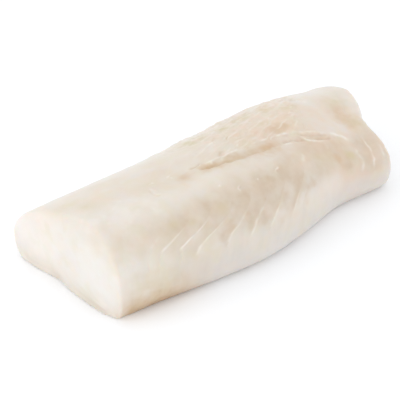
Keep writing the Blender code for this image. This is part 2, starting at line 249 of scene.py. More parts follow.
# patches of colour: x, y, z, reach, strength
patches = {
    "tan": (
        (-66.9, -19.6, 28, 3.5, 0.2), (-49.4, -23.2, 26.8, 3.4, 0.5), (-43.7, -22.4, 27.6, 3.2, 0.4),
        (-33.8, -22.6, 28.4, 3, 0.4), (-30.4, -23.5, 28.2, 2.8, 0.35), (-19, -25.3, 27.5, 3, 0.6),
        (-9.2, -22.6, 28.7, 3.2, 0.5), (-4.6, -24.5, 27.4, 2.6, 0.5), (3, -24.3, 26.7, 3, 0.5),
        (6.7, -27.3, 23.6, 3.4, 0.5), (28, -19, 24, 6, 0.3), (18, -17, 28, 6, 0.3),
        (9, -20, 28, 4, 0.4), (35.5, -25.3, 17.5, 2.8, 0.6), (45, -25, 16.6, 2.6, 0.4),
        (22.7, -25.3, 20.9, 2.6, 0.3), (47, -19, 20, 4, 0.3), (52, -19, 19, 6, 0.3),
        (48, -24, 14, 5, 0.25), (61, -12, 19, 5, 0.25), (13.5, -27, 20, 5, 0.3),
        (-57, -21, 27.4, 4, 0.3), (10, -12, 29, 5, 0.25), (-46.9, -29.5, 18.4, 3.5, 0.3),
        (-41.6, -31.3, 12.7, 4, 0.2), (-25.4, -31.3, 20.8, 4, 0.15), (-16, -31.4, 20.9, 4, 0.3),
        (-10.7, -28.3, 25.4, 4, 0.3), (-7.8, -22.7, 28.7, 3.5, 0.3), (-18.4, -19.6, 29.9, 4, 0.3),
        (-8, -15.2, 30.8, 4, 0.3),
    ),
    "peach": (
        (-59.5, 4.3, 29.8, 4, 0.5), (-54.5, 0.3, 30.4, 4, 0.5), (-50.1, 3.2, 30.2, 3.5, 0.5),
        (-39.5, 2.5, 30.2, 4, 0.3), (4.3, 3.2, 29.7, 3, 0.6), (3.5, 18.1, 25.3, 3.2, 0.5),
        (13.2, 9.9, 28.5, 3.2, 0.3), (16.6, 9.2, 28.4, 2.6, 0.3), (31.4, 12.6, 27.1, 3.2, 0.4),
        (13, -0.4, 29.9, 3.2, 0.7), (47, -21, 19, 6, 0.5), (56, 5, 23, 9, 0.3), (46, -2, 25, 8, 0.25),
        (27.3, 0.5, 29.3, 3, 0.8), (23.2, -2.7, 29.6, 2.6, 0.9), (35, -3, 27.8, 6, 0.2),
        (50.5, -12.9, 21.4, 3.5, 0.7), (-66.7, -21.9, 26.2, 2.6, 0.5), (-61.2, -21.5, 27.2, 2.6, 0.5),
        (-69.3, -1.4, 30.2, 2.4, 0.5), (9.6, -17.5, 29, 4, 0.3), (-30, 3, 30, 6, 0.25),
        (22, -14, 28, 3, 0.4), (30, -19, 24.5, 7, 0.35), (37.3, -27.3, 6, 7, 0.9),
        (45, -27.8, 6, 7, 0.9), (50.2, -27.6, 13.1, 5, 0.4), (34.6, -26.9, 14.7, 5, 0.4),
        (28.6, -27.8, 11.1, 5, 0.3), (18, -20, 26, 4, 0.4), (24, -18.5, 25.6, 4, 0.5),
        (31, -19.5, 23.2, 4, 0.5), (37, -19, 22, 4, 0.4), (43, -17, 21.5, 4, 0.3),
        (38, 11.8, 27.2, 3, 0.4),
    ),
    "pale": (
        (-53.8, -6.5, 30.9, 3, 0.5), (-50, -11.4, 31, 4, 0.7), (-60, -9, 31, 6, 0.9),
        (-42, -13, 31, 5, 0.6), (-30, -14, 31, 5, 0.35), (-57, -17, 30, 5, 0.5),
        (-48, -18, 29.8, 4, 0.4), (-10, -16, 30, 4, 0.3), (66.2, 3.7, 22.4, 3.5, 0.8),
        (66.4, 9.2, 22.3, 2.5, 0.4), (62.2, -2.8, 22.1, 2.6, 0.4), (22, -27, 17, 6, 0.3),
        (-70, 0, 30, 3.5, 0.5), (-70, -8, 30, 3.5, 0.6), (-64, -14, 30, 4, 0.8),
        (-5, 5, 29.5, 2.6, 0.6), (-9, 2, 30, 3, 0.5), (47.1, 9.5, 26.1, 2, 0.4),
        (24.8, 6.4, 28.6, 1.6, 0.5), (-22, -15, 31, 4, 0.5), (-4, -13.5, 30, 3, 0.3),
        (-72, 6, 29.4, 4, 0.4), (-72.5, -1, 30.2, 4, 0.4), (-71.7, -7.2, 30.4, 4, 0.5),
        (-71.4, -14.6, 29.9, 5, 0.5), (-70.6, -20.4, 27.2, 4.5, 0.5), (-63.6, -18.2, 29, 5, 0.4),
        (-71.1, -24.5, 22.7, 4.5, 0.7), (-66, -27, 17, 6, 0.4), (-69.1, 12.9, 26.7, 4, 0.4),
        (46.2, -27.2, 14.1, 2.5, 0.5), (30.3, -16.5, 25.5, 2, 0.4),
    ),
    "milky": (
        (-76.3, -17.4, 16.3, 8, 0.6), (-76.3, -11, 10, 8, 0.5), (-76.2, -23, 8, 6, 0.6),
        (-76.3, -3, 18, 6, 0.3), (0.3, -29.8, 21.6, 4, 0.4), (8.5, -29.2, 20, 4, 0.5),
        (14.5, -28.2, 20.5, 4, 0.5), (-6.3, -31.4, 20.9, 3, 0.3), (20, -27.5, 18, 4, 0.4),
        (-32.5, -31, 18, 3, 0.4), (-22.5, -33, 16, 3, 0.4), (-67.5, -6.5, 30.4, 5, 0.5),
        (53.4, -26.1, 15.1, 3, 0.5), (28.1, -27.5, 13.3, 4, 0.4), (13.1, -30.4, 14.8, 4, 0.35),
    ),
    "yellow": (
        (-70.8, 9.4, 28.6, 4, 0.5), (-65.7, 2.2, 29.8, 3.4, 0.55), (-31.4, -6.5, 30.9, 3, 0.3),
        (-27.9, -7.8, 30.9, 2.8, 0.2), (-42.7, -1.9, 30.6, 3.4, 0.4), (7.3, 14, 27.3, 3.2, 1),
        (19.8, 16, 26.4, 3.8, 1), (29.8, 15.4, 26.6, 3, 0.9), (-0.5, 15.4, 26.7, 3, 0.8),
        (-7.7, 15.6, 26.4, 3.2, 0.9), (38.6, 8.1, 27.6, 2.2, 0.9), (22.4, -21.8, 24.6, 3, 0.45),
        (28.1, -22, 22.6, 3, 0.4), (39.2, -23, 19.4, 2, 1), (37.6, -21.6, 20.6, 1.8, 0.6),
        (40, -15.4, 24.2, 1.6, 0.4), (59.5, 4.6, 23.4, 4, 0.8), (64.5, 10.2, 22.6, 4, 0.5),
        (54.2, -7.8, 21.8, 3.4, 0.6), (57, -10, 20.5, 3.5, 0.4), (-6, -9.8, 30.5, 2.4, 0.8),
        (-10.5, -8.8, 30.9, 2, 0.6), (5.8, -10.6, 29.9, 1.8, 0.5), (-68, -26.6, 12, 5, 0.25),
        (-48.6, -22.8, 27.2, 2.2, 0.5), (-41.6, -25.2, 26.1, 2, 0.45), (-28.7, -25.7, 26.4, 2.6, 0.6),
        (-63.5, -24.2, 24, 2.5, 0.35), (-63.4, -28, 15.8, 5, 0.3), (-58, -29.2, 9.8, 5, 0.3),
        (-51.7, -29.8, 13.3, 5, 0.25), (2.4, -3.6, 30.6, 2, 0.5), (-69.9, -21.1, 26.5, 3, 0.4),
        (-52.7, -26, 23.2, 3, 0.35),
    ),
    "orange": (
        (56.2, 1.2, 23.2, 3, 0.55), (53.9, -3.6, 22.5, 3.4, 0.7), (52.6, -8.6, 21.8, 3.6, 0.4),
        (19.5, -2.1, 29.5, 3, 0.9), (23.2, -2.7, 29.6, 2.4, 0.6), (39.4, 9.4, 27.2, 1.8, 0.4),
        (9.5, -10.2, 29.7, 2.6, 0.8), (5, -9.6, 30, 2.4, 0.4), (32.5, -23, 20.4, 2.4, 0.6),
        (30, -16.5, 26, 2.6, 0.3), (14, -6, 30, 3, 0.3), (35, -19.5, 23.4, 3, 0.35),
        (24, -15, 28, 2.4, 0.3), (0.8, -9.4, 30.4, 2.6, 0.4), (-19.6, -7.4, 30.5, 2.8, 0.9),
        (-15.7, -8.4, 30.8, 2.2, 0.6), (-29.5, -7.4, 30.9, 2.8, 0.6), (-72, -27, 4, 4.5, 0.5),
        (-4.1, -10.6, 30.3, 2.5, 0.4), (5.9, -10.6, 29.7, 2.5, 0.4), (-7.4, -7, 30.9, 2.5, 0.4),
        (0.3, -12.1, 29.4, 3, 0.45), (8.1, -13.9, 29.7, 3, 0.45), (-12.7, -25.3, 27.4, 2.6, 0.4),
        (-12.5, -10.7, 29.8, 2.4, 0.35),
    ),
    "cool": (
        (-24.5, -32.4, 18.4, 3, 0.5), (-15.8, -33.9, 15.8, 3.5, 0.5), (-32.8, -31.2, 18.6, 3, 0.3),
    ),
    # painted shade: more of the dark brown contact shadow along the near foot, where it meets the floor
    "foot": (
        (-67, -27.8, 1.5, 4.5, 0.3), (-61, -28.4, 1, 4, 0.6), (-55, -29, 1, 4, 0.6),
    ),
}


def along(values, u):  # a smooth curve through evenly spaced values, read at u from 0 to 1
    points = np.asarray(values, float)
    place = np.clip(u, 0.0, 1.0) * (len(points) - 1)
    first = np.minimum(place.astype(int), len(points) - 2)
    t = place - first
    padded = np.concatenate([[2 * points[0] - points[1]], points, [2 * points[-1] - points[-2]]])
    before, here, there, after = (padded[first + k] for k in range(4))
    bend = 2 * before - 5 * here + 4 * there - after
    twist = 3 * (here - there) + after - before
    return here + 0.5 * t * (there - before + t * (bend + t * twist))


def smooth(t):  # a soft rise from 0 to 1
    t = np.clip(t, 0.0, 1.0)
    return t * t * (3 - 2 * t)


def between(low, high, value):  # 0 below low, 1 above high
    return smooth((value - low) / (high - low))


def hill(distance, reach):  # 1 at no distance, falling off softly over its reach
    return np.exp(-((distance / reach) ** 2))


def atLeast(least, share):  # a share that never falls below its least
    return least + (1 - least) * share


def mottled(cloud, level, swing, least=0.0):  # a share that comes and goes with a soft noise
    return np.clip(level + swing * cloud, least, 1.0)


def clouds(points, size, shift, depth=2):  # soft noise about size across, from -1 to 1
    scaled = points.reshape(-1, 3) / size + shift
    read = [noise.fractal(Vector(point), 1.0, 2.0, depth) for point in scaled]
    return np.array(read).reshape(points.shape[:-1])


# the plain form, worked out at u, from 0 at the front cut to 1 at the torn rear
def topProfile(u):  # y and z over the top, from the near waist to the far one
    near, far, crest, crestY, farRound = (along(loin[name], u) for name in
                                          ("nearReach", "farReach", "crestHeight", "crestY", "farRound"))
    up = np.linspace(0.0, math.pi / 2, loin["profileSamples"])
    down = up[-2::-1]
    rise = crest - loin["waist"]
    y = np.append(crestY - (near + crestY) * np.cos(up) ** (2 / loin["nearRound"]),
                  crestY + (far - crestY) * np.cos(down) ** (2 / farRound))
    z = np.append(loin["waist"] + rise * np.sin(up) ** (2 / loin["nearRound"]),
                  loin["waist"] + rise * np.sin(down) ** (2 / farRound))
    return y, z


def topPlaces():  # 0 at the near waist, 1 at the seam, 2 at the far waist
    near = 1 - np.linspace(1.0, 0.0, loin["nearColumns"], endpoint=False) ** loin["crowding"]
    far = 1 + np.linspace(0.0, 1.0, loin["farColumns"] + 1) ** loin["crowding"]
    return np.append(near, far)


def curl(steps):  # an edge curling in under its waist: shares of the way in and up, from the foot
    foot = loin["footTurn"]
    turn = np.linspace(foot, math.pi / 2, steps + 1)
    return (1 - np.sin(turn)) / (1 - math.sin(foot)), 1 - np.cos(turn) / math.cos(foot)


def section(u):  # y, z and the run across the flesh for every column
    y, z = topProfile(u)
    run = np.append(0.0, np.cumsum(np.hypot(np.diff(y), np.diff(z))))
    seamRun = np.interp(along(loin["seamY"], u), y, run)
    columns = np.interp(topPlaces(), (0.0, 1.0, 2.0), (0.0, seamRun, run[-1]))
    near, far = along(loin["nearReach"], u), along(loin["farReach"], u)
    farIn, farUp = curl(loin["farEdge"])
    nearIn, nearUp = curl(loin["nearEdge"])
    floor = np.linspace(0.0, 1.0, loin["floorColumns"] + 1)[1:]
    least, most = loin["nearUndercut"]
    nearUndercut = least + (most - least) * smooth(u / loin["curlIn"])
    farFoot, nearFoot = far - loin["farUndercut"], nearUndercut - near
    waist = loin["waist"]
    underY = np.concatenate([far - loin["farUndercut"] * farIn[-2::-1],
                             farFoot + (nearFoot - farFoot) * floor,
                             nearUndercut * nearIn[1:-1] - near])
    underZ = waist * np.concatenate([farUp[-2::-1], np.zeros(len(floor)), nearUp[1:-1]])
    underRun = np.concatenate([run[-1] + waist * (1 - farUp[-2::-1]),
                               np.linspace(run[-1] + waist, -waist, len(floor) + 1)[1:],
                               waist * (nearUp[1:-1] - 1)])
    return (np.append(np.interp(columns, run, y), underY), np.append(np.interp(columns, run, z), underZ),
            np.append(columns, underRun))


def stationX(u, y):  # the rear end slants, so x depends on y as well
    rear = along(loin["rearEdge"], (y + loin["rearSpan"]) / (2 * loin["rearSpan"])) - loin["rearRound"]
    front = loin["frontX"] + loin["frontRound"]
    return front + u * (rear - front)


def endRings(ring, u, length, squareness, counts):  # over the rim, then across the face to its middle
    foot, top = squareness
    square = foot + (top - foot) * ring[:, 1] / ring[:, 1].max()
    rim = np.cos(np.linspace(0.0, loin["rimTurn"] * math.pi, counts[0] + 1)[1:]) ** (2 / foot)
    shrinks = np.append(rim, np.linspace(rim[-1], 0.0, counts[1] + 1)[1:])
    middleY = (ring[:, 0].max() + ring[:, 0].min()) / 2
    middleZ = ring[:, 1].max() * loin["middleShare"]
    rings = []
    for shrink in shrinks:
        y = middleY + (ring[:, 0] - middleY) * shrink
        z = middleZ + (ring[:, 1] - middleZ) * shrink
        out = length * (1 - shrink ** square) ** (1 / square)
        rings.append(np.stack([stationX(u, y) + out, y, z], axis=1))
    return np.array(rings), shrinks


def plainForm():  # rings of points round the loin, from the middle of the cut to the middle of the rear
    stations = np.linspace(0.0, 1.0, loin["stations"])
    dense = np.array([section(u) for u in stations])
    places = topPlaces()
    floorPlaces = np.linspace(2.0, 0.0, loin["floorColumns"] + 1)[1:]
    places = np.concatenate([places, np.full(loin["farEdge"], 2.0), floorPlaces,
                             np.zeros(loin["nearEdge"] - 1)])
    rings = np.linspace(0.0, 1.0, loin["bodyRings"])
    fade = smooth(rings / loin["endFade"]) * smooth((1 - rings) / loin["endFade"])
    share = along(loin["leanShare"], rings) * smooth((1 - rings) / loin["endFade"])
    lean = along(loin["ringLean"], places / 2) / loin["length"]
    u = np.clip(rings[:, None] + lean[None, :] * share[:, None], 0.0, 1.0)
    y, z, run = (np.stack([np.interp(u[:, column], stations, dense[:, part, column])
                           for column in range(len(places))], 1) for part in range(3))
    body = np.stack([stationX(u, y), y, z], axis=2)
    front, frontShrink = endRings(body[0, :, 1:], 0.0, -loin["frontRound"], loin["frontSquare"],
                                  loin["frontRings"])
    rear, rearShrink = endRings(body[-1, :, 1:], 1.0, loin["rearRound"], loin["rearSquare"],
                                loin["rearRings"])
    points = np.concatenate([front[::-1], body, rear])
    points[:, :, :2] -= loin["middle"]
    first, last = len(front), len(rear)
    form = {
        "points": points,
        "run": np.concatenate([np.repeat(run[:1], first, 0), run, np.repeat(run[-1:], last, 0)]),
        "place": np.repeat(places[None, :], len(points), 0),
        "fade": np.concatenate([np.zeros(first), fade, np.zeros(last)])[:, None],
        "frontFace": np.concatenate([1 - frontShrink[::-1], np.zeros(len(rings) + last)])[:, None],
        "rearFace": np.concatenate([np.zeros(first + len(rings)), 1 - rearShrink])[:, None],
    }
    alongRings = np.gradient(points, axis=0)
    acrossRings = np.roll(points, -1, 1) - np.roll(points, 1, 1)
    out = np.cross(alongRings, acrossRings)
    form["out"] = out / np.maximum(np.linalg.norm(out, axis=2, keepdims=True), 1e-9)
    return form


form = plainForm()
points, place = form["points"], form["place"]
x, y, z = points[:, :, 0], points[:, :, 1], points[:, :, 2]
print("plain form:", points.shape)

# strokes drawn over the top: points for each corner, how far round them the flesh is read, their ends
strokes = {"samples": 6, "reach": 8.0, "ends": 0.18}


def onTop(spot):  # a point (x, y) of the top, raised to the surface
    front = loin["frontX"] + loin["frontRound"]
    rear = stationX(1.0, np.float64(spot[1] + loin["middle"][1]))
    share = (spot[0] + loin["middle"][0] - front) / (rear - front)
    ys, zs = topProfile(np.clip(share, 0.0, 1.0))
    return (spot[0], spot[1], np.interp(spot[1] + loin["middle"][1], ys, zs))


def strokeOver(path, wander):  # distance to a stroke, how far along it, and on which side
    corners = np.array([onTop(spot) for spot in path], float)
    steps = np.linspace(0.0, 1.0, strokes["samples"] * (len(corners) - 1) + 1)
    line = np.stack([along(corners[:, axis], steps) for axis in range(3)], axis=1)
    reach = np.linalg.norm(line[0] - line[-1]) + strokes["reach"]
    best = np.full(x.shape, np.inf)
    far = np.zeros(x.shape)
    hand = np.zeros(x.shape)
    close = np.linalg.norm(points - line.mean(0), axis=2) < reach
    near = points[close] + wander[close]
    nearBest, nearFar, nearHand = best[close], far[close], hand[close]
    for k in range(len(line) - 1):
        step = line[k + 1] - line[k]
        t = np.clip((near - line[k]) @ step / (step @ step), 0.0, 1.0)
        gap = near - line[k] - t[:, None] * step
        away = np.linalg.norm(gap, axis=1)
        closer = away < nearBest
        nearBest = np.where(closer, away, nearBest)
        nearFar = np.where(closer, (k + t) / (len(line) - 1), nearFar)
        nearHand = np.where(closer, np.cross(step, gap)[:, 2], nearHand)
    best[close], far[close], hand[close] = nearBest, nearFar, np.sign(nearHand)
    return best, far, hand


def tapered(far, ends=strokes["ends"]):  # a stroke thins out at both of its ends
    return smooth(far / ends) * smooth((1 - far) / ends)


# the uneven surface of raw flesh: the size of each soft noise and its place in the noise
uneven = {
    "ragged": 2.2,
    "raggedShifts": (3.0, 17.0, 31.0),
    "raggedReach": 0.7,
    "cloudy": 9.0,
    "cloudyShift": 5.0,
    "patchy": 3.2,
    "patchyShift": 11.0,
    "cloudyHigh": 0.12,
    "patchyHigh": 0.05,
    "cutHigh": 0.15,  # on the face of the cut
    "footFade": (0.5, 3.0),  # the relief sets in above the floor
}
ragged = np.stack([clouds(points, uneven["ragged"], shift) for shift in uneven["raggedShifts"]], axis=2)
ragged = ragged * uneven["raggedReach"]
cloudy = clouds(points, uneven["cloudy"], uneven["cloudyShift"])
patchy = clouds(points, uneven["patchy"], uneven["patchyShift"])
height = np.zeros(x.shape)


def strayed(shares):  # how far a line strays with the two soft noises
    return shares[0] * cloudy + shares[1] * patchy


# flakes
known = np.array(flakes["routes"])
before = known[0] - flakes["pitch"] * np.arange(flakes["before"], 0, -1)[:, None]
after = known[-1] + flakes["pitch"] * np.arange(1, flakes["after"] + 1)[:, None]
routes = np.concatenate([before, known, after])
faint = [flakes["spread"]] * len(before)
fading = [flakes["spread"] if number < flakes["faintAfter"] else 0.0 for number in range(len(after))]
show = np.array(faint + list(flakes["routeShow"]) + fading)
lineFoot, lineTop = (np.array([0.0] * len(before) + list(flakes[end]) + [0.0] * len(after))
                     for end in ("routeFoot", "routeTop"))
lean = np.interp(place, flakes["leanPlaces"], flakes["lean"])
edge = x - lean + strayed(flakes["wander"])
ahead = np.stack([np.interp(place, flakes["routePlaces"], route) for route in routes])
first = np.clip((edge > ahead).sum(0) - 1, 0, len(routes) - 2)
rows, columns = np.indices(x.shape)
pitch = ahead[first + 1, rows, columns] - ahead[first, rows, columns]
phase = np.clip((edge - ahead[first, rows, columns]) / pitch, 0.0, 1.0)
nearest = first + (phase > 0.5)
stepHere = np.interp(place, flakes["stepPlaces"], flakes["step"]) * show[nearest]
climb = smooth(phase / flakes["riseShare"]) * smooth((1 - phase) / (1 - flakes["riseShare"]))
height += stepHere * (climb - flakes["rest"])
fromLine = np.minimum(phase, 1 - phase) * pitch
lineShow = (show[nearest] * between(*flakes["footFade"], place - lineFoot[nearest])
            * (1 - between(*flakes["topFade"], place - lineTop[nearest])))
septum = hill(fromLine, flakes["septumWide"]) * lineShow * mottled(patchy, *flakes["septumShow"])
height += flakes["septumHigh"] * septum

# swells
for middleX, middleY, reachX, reachY, swell in loin["swells"]:
    height += swell * hill(x - middleX, reachX) * hill(y - middleY, reachY) * (z > loin["waist"])

# the open seam
upper = (place > trough["fromPlace"]) & (z > trough["fromHeight"])
nearEdgeY = np.interp(x + ragged[:, :, 0], *np.transpose(trough["near"]))
farEdgeY = np.interp(x + ragged[:, :, 0], *np.transpose(trough["far"]))
inY = y + trough["ragged"] * ragged[:, :, 1]
inside = (between(-trough["soft"], trough["soft"], inY - nearEdgeY)
          * (1 - between(-trough["soft"], trough["soft"], inY - farEdgeY))
          * between(*trough["frontFade"], x) * (1 - between(*trough["rearFade"], x)) * upper)
slope = np.clip((farEdgeY - inY) / np.maximum(farEdgeY - nearEdgeY, trough["narrowest"]), 0.0, 1.0)
level, sloping, patch = trough["floor"]
height -= trough["deep"] * inside * (level + sloping * slope + patch * patchy)
brim = (hill(inY - farEdgeY - trough["lipOff"], trough["lipWide"]) * between(*trough["lipFront"], x)
        * (1 - between(*trough["lipRear"], x)) * upper * mottled(patchy, *trough["lipShow"]))
height += trough["lipHigh"] * brim
level, sloping, patch = trough["rawness"]
raw = (inside * np.clip(level + sloping * slope + patch * patchy, 0.0, 1.0)
       * atLeast(trough["rawRear"], 1 - between(*trough["rawFade"], x)))
lips = trough["lipPale"] * brim

# its tears, and the threads of tissue
for tear in tears:
    away, far, hand = strokeOver(tear["path"], ragged)
    ends = tapered(far)
    slit = hill(away, tear["wide"]) * ends
    lipAway, lipWide = tearEdge["lipAway"] * tear["wide"], tearEdge["lipWide"] * tear["wide"]
    lip = hill(away - lipAway, lipWide) * ends * (hand > 0)
    height += tear["lip"] * lip - tear["deep"] * slit
    raw = np.maximum(raw, hill(away, tearEdge["rawWide"] * tear["wide"]) * ends * tear["deep"])
    lips = np.maximum(lips, lip * tearEdge["palePerHigh"] * tear["lip"])
for thread in threads:
    away, far, hand = strokeOver(thread["path"], threadLook["ragged"] * ragged)
    line = hill(away, thread["wide"]) * tapered(far, threadLook["ends"])
    line = line * mottled(patchy, *threadLook["show"])
    height += threadLook["rise"] * thread["high"] * line
    lips = np.maximum(lips, line * min(1.0, tearEdge["palePerHigh"] * thread["high"]))

# ragged streaks over the far muscle
wayX, wayY = streaks["way"]
across = wayX * y - wayY * x + strayed(streaks["wander"])
alongWay = wayX * x + wayY * y
onFar = (place > streaks["fromPlace"]) & (z > loin["waist"])
torn = (between(*streaks["frontFade"], x)
        * (1 - between(*streaks["rearFade"], x - streaks["rearSlant"] * y))
        * between(*streaks["seamFade"], y - farEdgeY) * onFar)
band = across / streaks["pitch"]
band = band - np.floor(band)
rise = smooth(band / streaks["riseShare"]) * smooth((1 - band) / (1 - streaks["riseShare"]))
rise = (rise - streaks["rest"]) * mottled(cloudy, *streaks["show"])
grainPoints = np.stack([alongWay, across, z], 2) / streaks["grainSize"]
grain = clouds(grainPoints, 1.0, streaks["grainShift"], 3)
height += torn * (streaks["high"] * rise + streaks["grainHigh"] * grain)
paleAt, paleWide = streaks["paleLine"]
stripe = torn * hill(band - paleAt, paleWide) * mottled(grain, *streaks["paleShow"])
lips = np.maximum(lips, streaks["paleShare"] * stripe)

# shreds, painted pale for their tissue and as a painted highlight for their glints
dice = np.random.default_rng(flecks["seed"])
for middleX, middleY in flecks["spots"]:
    half = dice.uniform(*flecks["long"]) / 2
    turnBy = dice.normal(0.0, flecks["turn"])
    rise = dice.uniform(*flecks["high"])
    stepX, stepY = half * (wayX - turnBy * wayY), half * (wayY + turnBy * wayX)
    path = ((middleX - stepX, middleY - stepY), (middleX, middleY + flecks["bend"]),
            (middleX + stepX, middleY + stepY))
    away, far, hand = strokeOver(path, flecks["ragged"] * ragged)
    ends = tapered(far, flecks["ends"])
    line = hill(away, flecks["wide"]) * ends
    hollow = hill(away - flecks["hollowAway"], flecks["hollowWide"]) * ends * (hand < 0)
    height += rise * (line - flecks["hollowDeep"] * hollow)
    # painted highlight: the pale on the shreds stands in partly for their glints
    lips = np.maximum(lips, line * flecks["pale"])

# small bumps on the far shoulder, and the unevenness all over
shoulder = {
    "y": (9.0, 15.0),
    "frontX": (-30.0, -10.0),
    "rearX": (44.0, 52.0),
    "high": 0.35,
    "ragged": 0.6,
}
onShoulder = (between(*shoulder["y"], y) * between(*shoulder["frontX"], x)
              * (1 - between(*shoulder["rearX"], x)) * (z > loin["waist"]))
height += shoulder["high"] * onShoulder * (patchy + shoulder["ragged"] * ragged[:, :, 0])
height += uneven["cloudyHigh"] * cloudy + uneven["patchyHigh"] * patchy
height = height * form["fade"] * between(*uneven["footFade"], z)
height += uneven["cutHigh"] * cloudy * form["frontFace"]

# the torn rear end: flakes broken off one behind the other
rearFlakes = {
    "cloudSize": 13.0,
    "cloudShift": 23.0,
    "cloudShare": 0.7,
    "patchyShare": 0.12,
    "perY": 0.08,  # flakes for each millimetre to the far side
    "perZ": 0.11,  # and for each millimetre up
    "riseShare": 0.3,
    "high": 1.1,
    "fall": 1.0,
    "fadeIn": 0.5,  # the power by which they set in from the rim
    "footFade": (0.5, 4.0),
}
clump = clouds(points, rearFlakes["cloudSize"], rearFlakes["cloudShift"])
terrace = (rearFlakes["cloudShare"] * clump + rearFlakes["patchyShare"] * patchy
           + rearFlakes["perY"] * y + rearFlakes["perZ"] * z)
terrace = terrace - np.floor(terrace)
broken = rearFlakes["high"] * smooth(terrace / rearFlakes["riseShare"]) - rearFlakes["fall"] * terrace
height += form["rearFace"] ** rearFlakes["fadeIn"] * broken * between(*rearFlakes["footFade"], z)
points = points + form["out"] * height[:, :, None]

# the foot of the cut: a soft dent towards its far side, and a near corner that is drawn in
footOfCut = {
    "dent": 1.5,
    "dentY": 9.0,
    "dentReach": (6.0, 8.0),  # sideways and up
    "dentRear": -70.0,
    "cornerIn": (1.7, 1.3),  # lengthwise and sideways
    "cornerHigh": 6.0,
    "cornerY": (-26.0, -16.0),
    "cornerRearX": (-75.0, -68.0),
    "cornerSideX": (-74.0, -60.0),
}
dentWide, dentHigh = footOfCut["dentReach"]
dent = hill(y - footOfCut["dentY"], dentWide) * hill(z, dentHigh) * (x < footOfCut["dentRear"])
corner = hill(z, footOfCut["cornerHigh"]) * (1 - between(*footOfCut["cornerY"], y))
inX, inSide = footOfCut["cornerIn"]
points[:, :, 0] += footOfCut["dent"] * dent + inX * corner * (1 - between(*footOfCut["cornerRearX"], x))
points[:, :, 1] += inSide * corner * (1 - between(*footOfCut["cornerSideX"], x))
print("carved")

# the zones of colour. A pair gives where a zone sets in and where it is full, or the other way round,
# a least share is what is left of it elsewhere, and a mottling is its level and how far it swings.
limits = {
    "bandTopX": (-73, -61.5, -49, -38.6, -26.7, -15, 8, 25, 40),  # the upper edge of the tan band
    "bandTopY": (-13.7, -15.7, -19.3, -20.3, -22.4, -22.6, -21.5, -15, -14),
    "tipX": (-73, -60, -50, -32, -24, -14, -6, 4, 23, 40),  # the foot of the band between its tips
    "tipZ": (21, 19, 15.5, 15, 15, 14, 14, 16.7, 18, 12),
    "tipLong": 5.0,
    "tipFull": 2.0,  # the tips are at full length on a flake that shows half or more
    "bandFoot": (-2.0, 4.0),
    "bandFootStray": (2.0, 1.0),
    "bandTop": (-4.5, 4.5),
    "bandTopStray": (3.0, 1.0),
    "bandFront": (-62, -36),
    "bandFrontLeast": 0.1,
    "bandRear": (8, 26),
    "bandRearLeast": 0.55,
    "bandLevel": 0.55,
    "bandStray": (0.35, 0.3),
    "bandShade": (0.2, 1.5),  # darker towards the rear of each flake: how much, and the power
    "rimY": (-28, -24, -20, -13, -8, 0, 20),  # the upper rim of the cut
    "rimX": (-74.6, -75.4, -76.0, -75.8, -74.4, -73.8, -74.8),
    "rimFootX": -74.6,
    "rimRise": (20, 24),
    "rimSoft": (-1.4, 2.2),
    "rimStray": (0.35, 0.3),
    "topPlace": (0.35, 0.6),
    "topZ": (24, 27),
    "topX": (-66, -40),
    "topLeast": 0.5,
    "topMottling": (0.55, 0.45),
    "crestY": (-15, 5.0),  # a paler ridge along the near muscle: its middle and reach
    "crestX": (10, 25),
    "coolZ": (6, 17),
    "coolX": (-70, -40),
    "streakyZ": (11, 20),
    # painted light and shade: a warm band along the near foot, for the glow through its thin edge and the
    # shade where it turns under
    "glowFoot": (1.0, 8.0),  # the warm band along the near foot: its height and reach
    "glowFront": (-77, -72),
    "glowRear": (-58, -32),
    # painted shade: the foot zone is the contact shadow along the near foot, painted dark brown
    "footShadeHigh": 2.4,
    "footShadeFront": (-74, -60),
    "footShadeRear": (-50, -30),
    "footShadeLeast": 0.15,
    "cutMottling": (0.85, 0.3),
    "warmY": (-2, 20),
    "warmFar": (18, 28),
    "warmLeast": 0.5,
    "milkyPlace": (1.3, 1.65),
    "milkyRear": (0.0, 0.2),
    "milkyFrom": 5.0,
    "milkyShare": 0.5,
    "rimLineX": (-74.6, 1.5),  # its middle and reach
    "rimLineZ": (12, 18),
    "rimLineY": (-26, -18),
    "cutFootHigh": 5.5,
    "cutFootLevel": 0.8,
    "cutFootStray": (0.8, 0.4),
    "rawX": (-10, 15),
    "rawMottling": (0.2, 1.0),
    "rawShare": 0.2,
    "peachMottling": (0.33, 0.44),
    "peachX": (-10, 25),
    "peachZ": (5, 12),
    "peachShare": 0.4,
    "paleX": (-66, -50),
    "paleZ": (5, 10),
    "paleTop": (18, 24),
    "yellowMottling": (0.4, -1.0),
    "yellowShare": 0.3,
}


def limited(name, value):  # 0 below the named pair of limits, 1 above it
    return between(*limits[name], value)


bandTopY = np.interp(x, limits["bandTopX"], limits["bandTopY"])
tipZ = np.interp(x, limits["tipX"], limits["tipZ"])
flakeShare = np.clip(limits["tipFull"] * show[nearest], 0.0, 1.0)
tips = z - tipZ - limits["tipLong"] * (1 - phase) * flakeShare + strayed(limits["bandFootStray"])
bandHere = (limited("bandFoot", tips) * limited("bandTop", bandTopY - y + strayed(limits["bandTopStray"]))
            * atLeast(limits["bandFrontLeast"], limited("bandFront", x))
            * atLeast(limits["bandRearLeast"], 1 - limited("bandRear", x)))
shade, power = limits["bandShade"]
rimX = np.interp(y, limits["rimY"], limits["rimX"])
rimX = limits["rimFootX"] + (rimX - limits["rimFootX"]) * limited("rimRise", z)
onCut = 1 - limited("rimSoft", x - rimX + strayed(limits["rimStray"]))
offCut = 1 - onCut
nearSide = y < 0
crestY, crestReach = limits["crestY"]
crestLine = hill(y - crestY, crestReach) * (1 - limited("crestX", x))
glowZ, glowReach = limits["glowFoot"]
rimLineX, rimLineReach = limits["rimLineX"]
